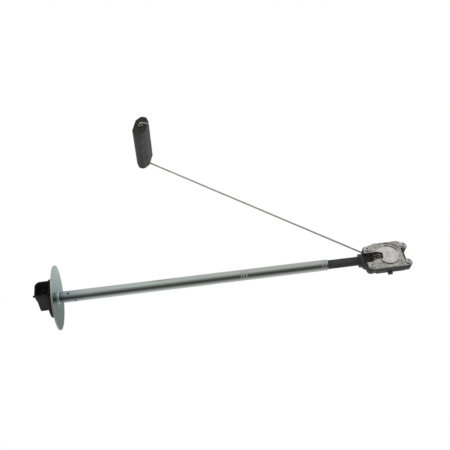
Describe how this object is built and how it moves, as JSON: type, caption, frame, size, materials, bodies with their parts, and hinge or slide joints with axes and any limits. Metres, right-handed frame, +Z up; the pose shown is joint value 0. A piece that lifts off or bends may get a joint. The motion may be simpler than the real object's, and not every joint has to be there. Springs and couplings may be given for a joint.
{
  "type": "fuel level sender",
  "caption": "Tank-top fuel level sender: round flange with a plug head, long crimped tube, moulded housing with a bolted cover, and a rubber float on a swinging wire arm.",
  "frame": {"origin": "centre of the flange's underside, the face that seals on the tank, on the tube's axis", "axes": "+Z up and out of the tank along the tube; the cover plate faces -Y; the float arm swings in the XZ plane on the +X side"},
  "size_m": [0.2339, 0.0913, 0.4031],
  "materials": {
    "zinc_plate": "zinc plated, satin",
    "tube_plate": "zinc plated, bright",
    "black_plastic": "moulded, matte",
    "gasket_rubber": "matte",
    "tin_plate": "tinned",
    "lead_sleeve": "satin",
    "cast_cover": "cast, mottled",
    "cast_cap": "cast, satin",
    "screw_plate": "zinc plated",
    "brass": "turned",
    "ceramic": "fired ceramic",
    "wire_steel": "drawn wire",
    "rotor_plastic": "moulded, matte",
    "float_rubber": "closed-cell, matte"
  },
  "bodies": {
    "sender": {"flange_disc": "zinc_plate", "weld_ring": "zinc_plate", "tube": "tube_plate", "connector_head": "black_plastic", "head_gasket": "gasket_rubber", "terminal_pin_1": "tin_plate", "terminal_pin_2": "tin_plate", "lead_1": "lead_sleeve", "lead_2": "lead_sleeve", "lead_grommet": "gasket_rubber", "carrier": "black_plastic", "pivot_bush": "brass", "resistor_board": "ceramic", "board_post_1": "tin_plate", "board_post_2": "tin_plate", "cover_plate": "cast_cover", "pivot_cap": "cast_cap", "cover_screw_1": "screw_plate", "cover_screw_2": "screw_plate", "cover_screw_3": "screw_plate", "cover_screw_4": "screw_plate"},
    "lever": {"lever_hub": "rotor_plastic", "pivot_shaft": "wire_steel", "rotor": "rotor_plastic", "wiper": "brass", "float_arm": "wire_steel", "float_washer": "brass", "float_stop": "brass"},
    "float": {"float": "float_rubber", "float_bush": "brass"}
  },
  "joints": [
    {"name": "arm_swing", "type": "hinge", "parent": "sender", "child": "lever", "pos_m": [0, 0, -0.3573], "axis": [0, 1, 0], "range_deg": [-26, 64]},
    {"name": "float_turn", "type": "hinge", "parent": "lever", "child": "float", "pos_m": [0.18477, 0, -0.10392], "axis": [0, 1, 0], "continuous": true}
  ]
}
